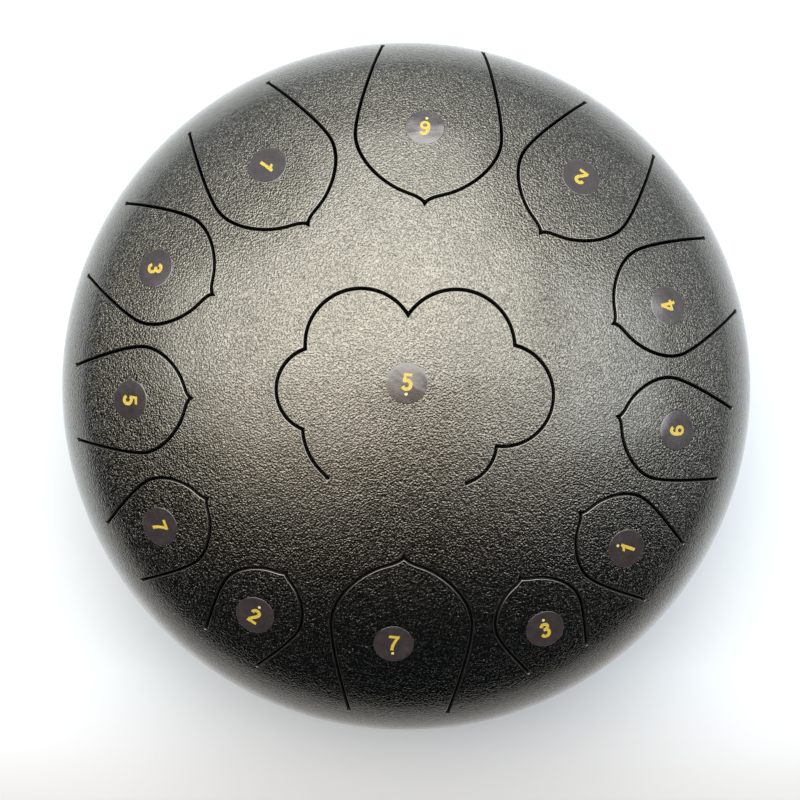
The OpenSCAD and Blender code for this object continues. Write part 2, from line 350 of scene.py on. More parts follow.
def inside(poly, pts):
    x, y = pts[:, 0], pts[:, 1]
    res = np.zeros(len(pts), bool)
    lo, hi = poly.min(0), poly.max(0)
    near = np.where((x >= lo[0]) & (x <= hi[0]) & (y >= lo[1]) & (y <= hi[1]))[0]
    if not len(near):
        return res
    x, y = x[near], y[near]
    r = np.zeros(len(near), bool)
    x0, y0 = poly[:, 0], poly[:, 1]
    x1, y1 = np.roll(x0, -1), np.roll(y0, -1)
    for a, b, c, d in zip(x0, y0, x1, y1):
        if b == d:
            continue
        hit = ((b > y) != (d > y)) & (x < (c - a) * (y - b) / (d - b) + a)
        r ^= hit
    res[near] = r
    return res


def triangulate(step, inset, s_end):
    """Triangles over the unrolled top, with every slot's ring at this inset and its root
    line as edges. Gives points, triangles, the region of each triangle (0 the shell,
    i + 1 the tongue of slot i, -1 inside a slot) and the index of each ring point."""
    pts, edges = [], []
    ring_ids, root_ids = [], []

    def add(p):
        start = sum(len(q) for q in pts)
        pts.append(np.asarray(p, float))
        return list(range(start, start + len(p)))

    for s in SLOTS:
        ids = add(s.ring(inset))
        edges += [(ids[i], ids[(i + 1) % len(ids)]) for i in range(len(ids))]
        rid = add(s.root)
        chain = [ids[s.j0]] + rid + [ids[s.j1]]
        edges += list(zip(chain[:-1], chain[1:]))
        ring_ids.append(ids)
        root_ids.append(chain)
    nrim = int(2 * math.pi * s_end / step)
    t = np.arange(nrim) / nrim * 2 * math.pi
    rim = add(np.stack([s_end * np.cos(t), s_end * np.sin(t)], -1))
    edges += [(rim[i], rim[(i + 1) % nrim]) for i in range(nrim)]
    for extra in (S_RIM,):
        if extra < s_end - 1:
            add(np.stack([extra * np.cos(t), extra * np.sin(t)], -1))
    fixed = np.vstack(pts)
    tree = KDTree(len(fixed))
    for i, p in enumerate(fixed):
        tree.insert((p[0], p[1], 0), i)
    tree.balance()
    rows = int(s_end / (step * 0.866)) + 2
    grid = []
    for j in range(-rows, rows + 1):
        xs = (np.arange(-int(s_end / step) - 2, int(s_end / step) + 3) + 0.5 * (j % 2)) * step
        grid.append(np.stack([xs, np.full(len(xs), j * step * 0.866)], -1))
    grid = np.vstack(grid)
    grid = grid[np.hypot(grid[:, 0], grid[:, 1]) < s_end - step * 0.6]
    keep = [g for g in grid if tree.find((g[0], g[1], 0))[2] > step * 0.55]
    add(np.array(keep))
    allp = np.vstack(pts)
    vo, _, fo, vorig, _, _ = delaunay_2d_cdt(
        [Vector(p) for p in allp], edges, [], 0, 1e-6, True)
    back = {}
    for o, src in enumerate(vorig):
        for i in src:
            back[i] = o
    P = np.array([(v.x, v.y) for v in vo])
    T = np.array([f for f in fo if len(f) == 3])
    a = P[T[:, 1]] - P[T[:, 0]]
    b = P[T[:, 2]] - P[T[:, 0]]
    neg = a[:, 0] * b[:, 1] - a[:, 1] * b[:, 0] < 0
    T[neg] = T[neg][:, [0, 2, 1]]
    mid = P[T].mean(1)
    region = np.zeros(len(T), int)
    for i, s in enumerate(SLOTS):
        ring = s.ring(inset)
        idx = [s.j1]
        while idx[-1] != s.j0:
            idx.append((idx[-1] + 1) % s.n)
        body = np.vstack([ring[idx], s.root])
        region[inside(body, mid)] = i + 1
        region[inside(ring, mid)] = -1
    rings = [[back[k] for k in ids] for ids in ring_ids]
    roots = [[back[k] for k in ids] for ids in root_ids]
    return P, T, region, rings, roots, [back[k] for k in rim]


class Build:
    """Collects points with normals and faces for one object."""

    def __init__(self):
        self.p, self.n, self.f, self.m = [], [], [], []
        self.count = 0

    def add(self, p, n):
        start = self.count
        self.p.append(np.asarray(p, float))
        self.n.append(np.asarray(n, float))
        self.count += len(p)
        return np.arange(start, self.count)

    def face(self, faces, mat=0):
        for f in faces:
            self.f.append(tuple(int(i) for i in f))
            self.m.append(mat)

    def strip(self, a, b, flip=False, mat=0):
        """Quads between two rows of the same length."""
        for i in range(len(a) - 1):
            q = (a[i], a[i + 1], b[i + 1], b[i])
            self.f.append(tuple(int(k) for k in (q[::-1] if flip else q)))
            self.m.append(mat)

    def make(self, name, mats, normals=True):
        p = np.vstack(self.p) * 0.001
        n = unit(np.vstack(self.n))
        me = bpy.data.meshes.new(name)
        me.from_pydata([tuple(v) for v in p], [], self.f)
        me.validate(clean_customdata=False)
        for m in mats:
            me.materials.append(m)
        for poly, k in zip(me.polygons, self.m):
            poly.material_index = k
            poly.use_smooth = True
        me.update()
        if normals:
            me.normals_split_custom_set_from_vertices([tuple(v) for v in n])
        ob = bpy.data.objects.new(name, me)
        bpy.context.scene.collection.objects.link(ob)
        return ob


# ---------------------------------------------------------------------------------
# Materials
# ---------------------------------------------------------------------------------
class Nodes:
    def __init__(self, name):
        self.m = bpy.data.materials.new(name)
        self.m.use_nodes = True
        self.t = self.m.node_tree
        self.t.nodes.clear()
        self.out = self.t.nodes.new("ShaderNodeOutputMaterial")
        self.b = self.t.nodes.new("ShaderNodeBsdfPrincipled")
        self.t.links.new(self.b.outputs[0], self.out.inputs[0])
        self.co = self.t.nodes.new("ShaderNodeTexCoord").outputs["Object"]

    def set(self, **kw):
        for k, v in kw.items():
            self.b.inputs[k.replace("_", " ")].default_value = v

    def link(self, a, b):
        self.t.links.new(a, b)

    def to(self, out, socket):
        self.t.links.new(out, self.b.inputs[socket])

    def node(self, kind, **kw):
        n = self.t.nodes.new(kind)
        for k, v in kw.items():
            setattr(n, k, v)
        return n

    def noise(self, scale, detail=2.0, rough=0.5, vector=None, distortion=0.0):
        n = self.node("ShaderNodeTexNoise")
        n.inputs["Scale"].default_value = scale
        n.inputs["Detail"].default_value = detail
        n.inputs["Roughness"].default_value = rough
        n.inputs["Distortion"].default_value = distortion
        self.link(vector or self.co, n.inputs["Vector"])
        return n.outputs["Fac"]

    def voronoi(self, scale, feature="SMOOTH_F1", smooth=0.6, vector=None, random=1.0):
        n = self.node("ShaderNodeTexVoronoi", feature=feature)
        n.inputs["Scale"].default_value = scale
        if feature == "SMOOTH_F1":
            n.inputs["Smoothness"].default_value = smooth
        n.inputs["Randomness"].default_value = random
        self.link(vector or self.co, n.inputs["Vector"])
        return n.outputs["Distance"]

    def math(self, op, a, b=None, clamp=False):
        n = self.node("ShaderNodeMath", operation=op)
        n.use_clamp = clamp
        for i, v in enumerate((a, b)):
            if v is None:
                continue
            if isinstance(v, (int, float)):
                n.inputs[i].default_value = v
            else:
                self.link(v, n.inputs[i])
        return n.outputs[0]

    def ramp(self, fac, stops):
        n = self.node("ShaderNodeValToRGB")
        e = n.color_ramp.elements
        while len(e) < len(stops):
            e.new(0.5)
        for el, (pos, col) in zip(e, stops):
            el.position = pos
            el.color = (*col, 1.0) if len(col) == 3 else col
        self.link(fac, n.inputs["Fac"])
        return n.outputs["Color"]

    def remap(self, fac, a, b, lo, hi):
        n = self.node("ShaderNodeMapRange")
        n.inputs["From Min"].default_value = a
        n.inputs["From Max"].default_value = b
        n.inputs["To Min"].default_value = lo
        n.inputs["To Max"].default_value = hi
        self.link(fac, n.inputs["Value"])
        return n.outputs["Result"]

    def mix(self, fac, a, b):
        n = self.node("ShaderNodeMix", data_type="RGBA")
        self.link(fac, n.inputs["Factor"])
        for key, v in (("A", a), ("B", b)):
            sock = [s for s in n.inputs if s.name == key and s.type == "RGBA"][0]
            if isinstance(v, tuple):
                sock.default_value = (*v, 1.0)
            else:
                self.link(v, sock)
        return [s for s in n.outputs if s.type == "RGBA"][0]

    def bump(self, height, strength, distance, normal=None):
        n = self.node("ShaderNodeBump")
        n.inputs["Strength"].default_value = strength
        n.inputs["Distance"].default_value = distance
        self.link(height, n.inputs["Height"])
        if normal is not None:
            self.link(normal, n.inputs["Normal"])
        return n.outputs["Normal"]

    def warp(self, scale, amount):
        """Object coordinates pushed about by a coarse noise."""
        n = self.node("ShaderNodeTexNoise")
        n.inputs["Scale"].default_value = scale
        n.inputs["Detail"].default_value = 1.0
        self.link(self.co, n.inputs["Vector"])
        sub = self.node("ShaderNodeVectorMath", operation="SUBTRACT")
        self.link(n.outputs["Color"], sub.inputs[0])
        sub.inputs[1].default_value = (0.5, 0.5, 0.5)
        mul = self.node("ShaderNodeVectorMath", operation="SCALE")
        self.link(sub.outputs[0], mul.inputs[0])
        mul.inputs["Scale"].default_value = amount
        add = self.node("ShaderNodeVectorMath", operation="ADD")
        self.link(self.co, add.inputs[0])
        self.link(mul.outputs[0], add.inputs[1])
        return add.outputs[0]


def hammered_paint():
    """Stoved hammer-finish paint: short leathery ridges over dark bronze-grey metal flake, with
    painted shade darkening the colour in the pattern's valleys.
    """
    k = Nodes("hammered_paint")
    w = k.warp(620.0, 0.0009)
    cell = k.voronoi(1200.0, "SMOOTH_F1", 0.45, w)
    grain = k.noise(1650.0, 1.5, 0.5, w)
    fine = k.noise(2600.0, 2.0, 0.55)
    wave = k.noise(60.0, 2.0, 0.5)
    h = k.math("ADD", k.math("MULTIPLY", cell, -0.9), k.math("MULTIPLY", grain, 0.85))
    h = k.math("ADD", h, k.math("MULTIPLY", fine, 0.10))
    tone = k.ramp(wave, [(0.30, (0.136, 0.130, 0.112)), (0.55, (0.150, 0.144, 0.125)),
                         (0.75, (0.161, 0.153, 0.133))])
    # base colour darkened where the hammer pattern is low: painted shade in its valleys
    shade = k.math("MULTIPLY", k.remap(grain, 0.36, 0.54, 0.42, 1.06),
                   k.remap(h, 0.0, 0.18, 0.85, 1.0))
    mul = k.node("ShaderNodeMix", data_type="RGBA", blend_type="MULTIPLY")
    mul.inputs["Factor"].default_value = 1.0
    cols = [s for s in mul.inputs if s.type == "RGBA"]
    k.link(tone, cols[0])
    k.link(shade, cols[1])
    k.to([s for s in mul.outputs if s.type == "RGBA"][0], "Base Color")
    k.to(k.remap(fine, 0.3, 0.7, 0.12, 0.18), "Roughness")
    k.set(Metallic=1.0, Coat_Weight=0.5, Coat_Roughness=0.10, Coat_IOR=1.5)
    n = k.bump(h, 1.0, 0.00023)
    k.to(n, "Normal")
    return k.m


def slot_lip():
    """Rounded slot edge: smoother, and paler in its base colour as a painted highlight along the lip.
    """
    k = Nodes("slot_lip_painted_highlight")
    n1 = k.noise(900.0, 3.0, 0.6)
    # paler than the face paint: painted highlight on the lip
    k.to(k.ramp(n1, [(0.3, (0.13, 0.127, 0.114)), (0.7, (0.24, 0.233, 0.212))]), "Base Color")
    k.to(k.remap(n1, 0.3, 0.7, 0.26, 0.38), "Roughness")
    k.set(Metallic=1.0, Coat_Weight=0.4, Coat_Roughness=0.12)
    k.to(k.bump(n1, 0.5, 0.00005), "Normal")
    return k.m


def slot_wall():
    """Cut edge of the sheet inside a slot, coloured near-black as painted shade down in the slot."""
    k = Nodes("slot_wall_painted_shade")
    n1 = k.noise(1400.0, 3.0, 0.6)
    # near-black base colour: painted shade in the slot, not the steel's own colour
    k.to(k.ramp(n1, [(0.3, (0.012, 0.012, 0.012)), (0.7, (0.035, 0.034, 0.032))]), "Base Color")
    k.to(k.remap(n1, 0.3, 0.7, 0.5, 0.75), "Roughness")
    k.set(Metallic=0.3)
    k.to(k.bump(n1, 0.4, 0.00008), "Normal")
    return k.m


def inner_paint():
    """Inside of the shells: thin dark primer with drawn-steel mottling."""
    k = Nodes("inner_primer")
    n1 = k.noise(45.0, 4.0, 0.6)
    n2 = k.noise(900.0, 3.0, 0.6)
    k.to(k.ramp(n1, [(0.25, (0.040, 0.038, 0.036)), (0.6, (0.070, 0.066, 0.060)),
                     (0.8, (0.095, 0.085, 0.072))]), "Base Color")
    k.to(k.remap(n2, 0.3, 0.7, 0.45, 0.7), "Roughness")
    k.set(Metallic=0.55)
    k.to(k.bump(n2, 0.35, 0.00006), "Normal")
    return k.m


def sticker_vinyl():
    k = Nodes("sticker_vinyl")
    n1 = k.noise(260.0, 3.0, 0.6)
    n2 = k.noise(120.0, 2.0, 0.5)
    speck = k.noise(2200.0, 2.0, 0.6)
    k.to(k.ramp(n1, [(0.25, (0.026, 0.020, 0.021)), (0.55, (0.036, 0.028, 0.029)),
                     (0.8, (0.052, 0.042, 0.043))]), "Base Color")
    k.to(k.remap(n2, 0.3, 0.7, 0.12, 0.24), "Roughness")
    k.set(Coat_Weight=1.0, Coat_Roughness=0.05, Specular_IOR_Level=0.7)
    n = k.bump(k.math("ADD", n1, k.math("MULTIPLY", speck, 0.10)), 0.6, 0.00012)
    k.to(n, "Normal")
    return k.m


def digit_ink():
    k = Nodes("digit_ink")
    n1 = k.noise(900.0, 3.0, 0.6)
    k.to(k.ramp(n1, [(0.3, (0.41, 0.30, 0.035)), (0.6, (0.50, 0.375, 0.055)),
                     (0.8, (0.56, 0.44, 0.10))]), "Base Color")
    k.to(k.remap(n1, 0.3, 0.7, 0.32, 0.45), "Roughness")
    k.to(k.bump(n1, 0.3, 0.00003), "Normal")
    return k.m


def dot_ink():
    k = Nodes("dot_ink")
    n1 = k.noise(1100.0, 3.0, 0.6)
    k.to(k.ramp(n1, [(0.3, (0.50, 0.42, 0.16)), (0.7, (0.62, 0.55, 0.26))]), "Base Color")
    k.to(k.remap(n1, 0.3, 0.7, 0.32, 0.45), "Roughness")
    k.to(k.bump(n1, 0.3, 0.00003), "Normal")
    return k.m


def foot_rubber():
    k = Nodes("foot_rubber")
    n1 = k.noise(700.0, 4.0, 0.6)
    n2 = k.noise(55.0, 3.0, 0.5)
    k.to(k.ramp(n2, [(0.3, (0.014, 0.014, 0.014)), (0.7, (0.030, 0.029, 0.028))]), "Base Color")
    k.to(k.remap(n1, 0.3, 0.7, 0.62, 0.8), "Roughness")
    k.to(k.bump(n1, 0.45, 0.00008), "Normal")
    return k.m


def zinc_steel():
    k = Nodes("zinc_steel")
    n1 = k.noise(350.0, 3.0, 0.6)
    n2 = k.noise(2400.0, 3.0, 0.6)
    k.to(k.ramp(n1, [(0.3, (0.48, 0.49, 0.52)), (0.6, (0.62, 0.63, 0.65)),
                     (0.8, (0.70, 0.69, 0.66))]), "Base Color")
    k.to(k.remap(n2, 0.3, 0.7, 0.22, 0.38), "Roughness")
    k.set(Metallic=1.0)
    k.to(k.bump(n2, 0.3, 0.00003), "Normal")
    return k.m


PAINT, WALL_SHADE, INNER, LIP_HIGHLIGHT = hammered_paint(), slot_wall(), inner_paint(), slot_lip()
VINYL, INK, DOT = sticker_vinyl(), digit_ink(), dot_ink()
RUBBER, ZINC = foot_rubber(), zinc_steel()

# ---------------------------------------------------------------------------------
# Top shell and tongues
# ---------------------------------------------------------------------------------
ROWS = [(LIP * (1 - math.sin(t)), LIP * (1 - math.cos(t)), t)
        for t in (math.radians(x) for x in (0, 22, 45, 67, 90))]

po, to_, ro, rings_o, roots_o, rim_o = triangulate(3.0, LIP, S_END)
pi_, ti, ri, rings_i, roots_i, rim_i = triangulate(7.0, 0.15, S_END)


def region_mesh(b, P, T, region, want, depth, flip, mat):
    """Adds the triangles of one region to b and gives old index -> new index."""
    use = T[region == want]
    ids = np.unique(use)
    p, n, _, _ = lift(P[ids], depth)
    new = b.add(p, -n if flip else n)
    table = dict(zip(ids.tolist(), new.tolist()))
    for t in use:
        q = [table[int(k)] for k in t]
        b.face([q[::-1] if flip else q], mat)
    return table


def slot_edge(b, s, i, js, top, bottom, outer_side):
    """Rounded lip and cut wall along the run of loop vertices js."""
    top_ids = [top[rings_o[i][j]] for j in js]
    bot_ids = [bottom[rings_i[i][j]] for j in js]
    L, N = s.L[js], s.N[js]
    toward = tangent3(L, -unit(N))
    rows = [top_ids]
    for inset, depth, t in ROWS[1:]:
        p, n, _, _ = lift(L + N * inset, depth)
        rows.append(b.add(p, n * math.cos(t) + toward * math.sin(t)))
    p, n, _, _ = lift(L, SHEET - 0.15)
    rows.append(b.add(p, toward))
    rows.append(bot_ids)
    for k in range(len(rows) - 1):
        # lip rows take the paler lip material, a painted highlight; the cut wall takes the near-black
        # wall material, painted shade
        mat = 3 if k < len(ROWS) - 1 else 1
        b.strip(rows[k], rows[k + 1], flip=not s.ccw, mat=mat)


def root_wall(b, s, chain_o, chain_i, top_pts, sign):
    """Adds an outer and an inner row of points across a tongue's root, with normals along the tongue;
    it makes no faces.
    """
    o = top_pts[chain_o]
    po_, no, _, _ = lift(o, 0.0)
    m = len(o)
    pi2, ni, _, _ = lift(o, SHEET)
    d = unit(np.append(s.tip - s.mid, 0.0)) * sign
    a = b.add(po_, np.tile(d, (m, 1)))
    c = b.add(pi2, np.tile(d, (m, 1)))
    return a, c


shell = Build()
top = region_mesh(shell, po, to_, ro, 0, 0.0, False, 0)
bot = region_mesh(shell, pi_, ti, ri, 0, SHEET, True, 2)
for i, s in enumerate(SLOTS):
    js = [s.j0]
    while js[-1] != s.j1:
        js.append((js[-1] + 1) % s.n)
    slot_edge(shell, s, i, js, top, bot, True)
# seam face
outer = [top[k] for k in rim_o] + [top[rim_o[0]]]
top_shell = None
# the bottom edge, closed with a flat ring facing down, in the near-black wall material (painted
# shade)
no_, ni_ = len(rim_o), len(rim_i)
N_SEAM = 360
t = np.arange(N_SEAM + 1) / N_SEAM * 2 * math.pi
down = np.tile([0.0, 0.0, -1.0], (N_SEAM + 1, 1))
ring = lambda r, z: np.stack([r * np.cos(t), r * np.sin(t), np.full(len(t), z)], -1)
a = shell.add(ring(RIM, SEAM_Z), down)
c = shell.add(ring(RIM - SHEET, SEAM_Z), down)
shell.strip(a, c, flip=False, mat=1)
top_shell = shell.make("top_shell_skin", [PAINT, WALL_SHADE, INNER, LIP_HIGHLIGHT])
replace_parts(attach(top_shell, "drum_body"), "top_shell")

for i, s in enumerate(SLOTS):
    b = Build()
    top = region_mesh(b, po, to_, ro, i + 1, 0.0, False, 0)
    bot = region_mesh(b, pi_, ti, ri, i + 1, SHEET, True, 2)
    js = [s.j1]
    while js[-1] != s.j0:
        js.append((js[-1] + 1) % s.n)
    slot_edge(b, s, i, js, top, bot, False)
    ob = b.make("tongue_%s_skin" % s.name, [PAINT, WALL_SHADE, INNER, LIP_HIGHLIGHT])
    # the root's place on the profile and the tongue's direction, not used further
    r, z, _, _ = profile(np.hypot(*flatten(s.mid)))
    d = unit(s.tip - s.mid)
    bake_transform(ob)
    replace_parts(ob, "tongue_%s" % s.name)

# ---------------------------------------------------------------------------------
# Bottom shell: same pressing turned over, with the round sound port
# ---------------------------------------------------------------------------------
PORT = 35.0


def turned(rows, n, mats, name, phase=0.0):
    """Surface of revolution from (r, z, nr, nz, material) rows."""
    b = Build()
    t = (np.arange(n + 1) / n + phase) * 2 * math.pi
    ids = []
    for r, z, nr, nz, _ in rows:
        p = np.stack([r * np.cos(t), r * np.sin(t), np.full(n + 1, z)], -1)
        q = np.stack([nr * np.cos(t), nr * np.sin(t), np.full(n + 1, nz)], -1)
        ids.append(b.add(p, q))
    for k in range(len(rows) - 1):
        b.strip(ids[k], ids[k + 1], flip=True, mat=rows[k][4])
    return b.make(name, mats)


def merge_seam(ob):
    import bmesh
    bm = bmesh.new()
    bm.from_mesh(ob.data)
    bmesh.ops.remove_doubles(bm, verts=bm.verts, dist=1e-7)
    bm.to_mesh(ob.data)
    bm.free()


s_port = CROWN * math.asin((PORT + 0.8) / CROWN)
rows = []
for s in np.concatenate([np.linspace(s_port, S_JOIN, 36), np.linspace(S_JOIN, S_RIM, 30)[1:],
                         [S_END]]):
    r, z, nr, nz = (float(v) for v in profile(s))
    rows.append((r, LOW_Z - z, nr, -nz, 0))
rows = rows[::-1]
# port edge: rounded over, then the inside of the sheet back out to the seam
r, z, nr, nz = (float(v) for v in profile(s_port))
zc = LOW_Z - z
for t in (30, 60, 90):
    q = math.radians(t)
    rows.append((PORT + 0.8 - 0.8 * math.sin(q), zc + 0.8 * (1 - math.cos(q)) - 0.1 * math.sin(q),
                 -math.sin(q), -math.cos(q), 0))
rows.append((PORT, zc + SHEET - 0.3, -1, 0, 0))
rows.append((PORT + 0.3, zc + SHEET + 0.02, -0.7, 0.7, 2))
for s in np.concatenate([np.linspace(s_port + 1.0, S_JOIN, 20), np.linspace(S_JOIN, S_RIM, 16)[1:],
                         [S_END]]):
    r, z, nr, nz = (float(v) for v in profile(s))
    rows.append((r - nr * SHEET, LOW_Z - (z - nz * SHEET), -nr, nz, 2))
bottom = turned(rows, 320, [PAINT, WALL_SHADE, INNER], "bottom_shell_skin")
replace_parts(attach(bottom, "drum_body"), "bottom_shell")

# ---------------------------------------------------------------------------------
# Weld bead round the seam, painted over: soft overlapping ripples, dressed nearly flat
# ---------------------------------------------------------------------------------
b = Build()
n = 1440
t = np.arange(n + 1) / n * 2 * math.pi
rng = np.random.default_rng(7)
phase = rng.uniform(0, 6.28, 6)
ripple = 0.05 * np.sin(t * 240 + 0.8 * np.sin(5 * t + phase[0]))
drift = 0.12 * np.sin(7 * t + phase[1]) + 0.07 * np.sin(17 * t + phase[2])
drift[-1], ripple[-1] = drift[0], ripple[0]
rows = []
for j, v in enumerate(np.linspace(-1, 1, 9)):
    out = RIM - 0.05 + (0.32 + ripple) * np.sqrt(max(0.0, 1 - v * v)) - (0.12 if abs(v) == 1 else 0)
    z = SEAM_Z + v * 1.25 + drift * (1 if abs(v) < 1 else 0.8)
    p = np.stack([out * np.cos(t), out * np.sin(t), z], -1)
    rows.append(b.add(p, np.stack([np.cos(t), np.sin(t), np.full(n + 1, v * 0.9)], -1)))
for k in range(len(rows) - 1):
    b.strip(rows[k], rows[k + 1], mat=0)
weld = b.make("rim_weld_bead", [PAINT])
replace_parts(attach(weld, "drum_body"), "rim_weld")

# ---------------------------------------------------------------------------------
# Stickers and their printed digits
# ---------------------------------------------------------------------------------
STICK_R = 8.2
SPOTS = {  # distance and direction from the axis, direction of the digit's top, note, dot
    "low_5": (2.0, -100.0, 5.0, "5", -1),
    "low_6": (104.5, 86.0, 190.0, "6", -1),
    "low_7": (108.0, -93.0, 5.0, "7", -1),
    "1": (105.5, 123.0, 131.0, "1", 0),
    "2": (110.5, 49.5, -145.0, "2", 0),
    "3": (114.0, 156.0, 98.0, "3", 0),
    "4": (112.0, 16.0, -105.0, "4", 0),
    "5": (114.5, -176.0, 90.0, "5", 0),
    "6": (113.0, -10.5, -90.0, "6", 0),
    "7": (118.5, -149.5, 70.0, "7", 0),
    "high_1": (113.5, -37.5, -68.0, "1", 1),
    "high_2": (115.0, -123.0, 31.0, "2", 1),
    "high_3": (117.0, -61.0, -16.0, "3", 1),
}


def ribbon(points, w):
    p = np.array(points, float)
    # smooth the centre line with a Catmull-Rom pass
    q = []
    ext = np.vstack([2 * p[0] - p[1], p, 2 * p[-1] - p[-2]])
    for i in range(1, len(ext) - 2):
        a, b_, c_, d_ = ext[i - 1:i + 3]
        for t in np.arange(0, 1, 0.2):
            q.append(0.5 * (2 * b_ + (c_ - a) * t + (2 * a - 5 * b_ + 4 * c_ - d_) * t * t
                            + (3 * b_ - a - 3 * c_ + d_) * t ** 3))
    q.append(p[-1])
    q = np.array(q)
    d = unit(np.gradient(q, axis=0))
    nrm = np.stack([-d[:, 1], d[:, 0]], -1)
    return np.vstack([q + nrm * w / 2, (q - nrm * w / 2)[::-1]])


def box2(x0, y0, x1, y1):
    return np.array([[x0, y0], [x1, y0], [x1, y1], [x0, y1]], float)


def circle2(x, y, r, n=28):
    t = np.arange(n) / n * 2 * math.pi
    return np.stack([x + r * np.cos(t), y + r * np.sin(t)], -1)


SW = 0.205
GLYPHS = {
    "1": [np.array([(.25, 0), (.45, 0), (.45, 1), (.29, 1), (.26, .91), (.19, .83), (.05, .76),
                    (.05, .59), (.17, .63), (.25, .69)], float)],
    "2": [ribbon([(.11, .68), (.13, .80), (.21, .88), (.33, .905), (.45, .88), (.53, .79),
                  (.535, .69), (.48, .57), (.37, .44), (.25, .31), (.16, .19), (.12, .07)], SW),
          box2(.03, 0, .64, .175)],
    "3": [ribbon([(.11, .73), (.16, .85), (.25, .905), (.35, .905), (.46, .87), (.51, .77),
                  (.48, .65), (.39, .57), (.24, .545)], SW),
          ribbon([(.24, .545), (.41, .53), (.52, .45), (.55, .31), (.51, .18), (.42, .10),
                  (.31, .085), (.18, .12), (.10, .25)], SW)],
    "4": [box2(0, .215, .66, .385), box2(.355, 0, .54, 1),
          np.array([(0, .385), (0, .30), (.19, .36), (.19, .385), (.46, .84), (.46, 1),
                    (.37, 1)], float)],
    "5": [box2(.16, .83, .60, 1), np.array([(.145, 1), (.07, .48), (.235, .46), (.31, 1)], float),
          ribbon([(.14, .50), (.22, .565), (.33, .59), (.45, .55), (.535, .46), (.555, .33),
                  (.52, .20), (.44, .115), (.32, .085), (.19, .12), (.10, .24)], SW)],
    "6": [np.vstack([circle2(.335, .31, .305, 40)]),
          ribbon([(.125, .36), (.11, .50), (.13, .67), (.20, .82), (.32, .905), (.44, .88),
                  (.525, .79)], SW)],
    "7": [box2(.02, .825, .64, 1),
          np.array([(.64, .86), (.53, .69), (.43, .46), (.365, .2), (.35, 0), (.155, 0),
                    (.175, .22), (.24, .45), (.33, .66), (.43, .83), (.64, .95)], float)],
}
HOLES = {"6": [circle2(.335, .31, .125, 28)], "4": []}


def fill2(polys, holes, step):
    """Triangles over the union of the polygons less the holes, with points inside."""
    verts, faces, edges = [], [], []
    for q in polys:
        k = len(verts)
        verts += [Vector(v) for v in q]
        faces.append(list(range(k, k + len(q))))
    for q in holes:
        k = len(verts)
        verts += [Vector(v) for v in q]
        edges += [(k + i, k + (i + 1) % len(q)) for i in range(len(q))]
    lo = np.vstack(polys).min(0)
    hi = np.vstack(polys).max(0)
    for x in np.arange(lo[0], hi[0], step):
        for y in np.arange(lo[1], hi[1], step):
            verts.append(Vector((x + 0.137 * step, y + 0.211 * step)))
    vo, _, fo, _, _, _ = delaunay_2d_cdt(verts, edges, faces, 0, 1e-5, True)
    P = np.array([(v.x, v.y) for v in vo])
    T = np.array([f for f in fo if len(f) == 3])
    m = P[T].mean(1)
    ok = np.zeros(len(T), bool)
    for q in polys:
        ok |= inside(q, m)
    for q in holes:
        ok &= ~inside(q, m)
    T = T[ok]
    a, b_ = P[T[:, 1]] - P[T[:, 0]], P[T[:, 2]] - P[T[:, 0]]
    neg = a[:, 0] * b_[:, 1] - a[:, 1] * b_[:, 0] < 0
    T[neg] = T[neg][:, [0, 2, 1]]
    ids = np.unique(T)
    table = {int(v): i for i, v in enumerate(ids)}
    return P[ids], [[table[int(k)] for k in f] for f in T]


def wrinkle(seed):
    """Smooth random height over the sticker, in millimetres."""
    g = np.random.default_rng(seed)
    waves = [(g.uniform(0.25, 1.0), g.uniform(0, 6.28), g.uniform(0, 6.28)) for _ in range(7)]
    crease = [(g.uniform(0, math.pi), g.uniform(-4, 4), g.uniform(0.4, 0.9)) for _ in range(3)]

    def f(x, y):
        h = 0.0
        for k, ang, ph in waves:
            h = h + 0.005 / k ** 0.5 * np.sin(k * (x * math.cos(ang) + y * math.sin(ang)) + ph)
        for ang, off, wd in crease:
            d = x * math.cos(ang) + y * math.sin(ang) - off
            h = h + 0.005 * np.exp(-(d / wd) ** 2)
        return h
    return f


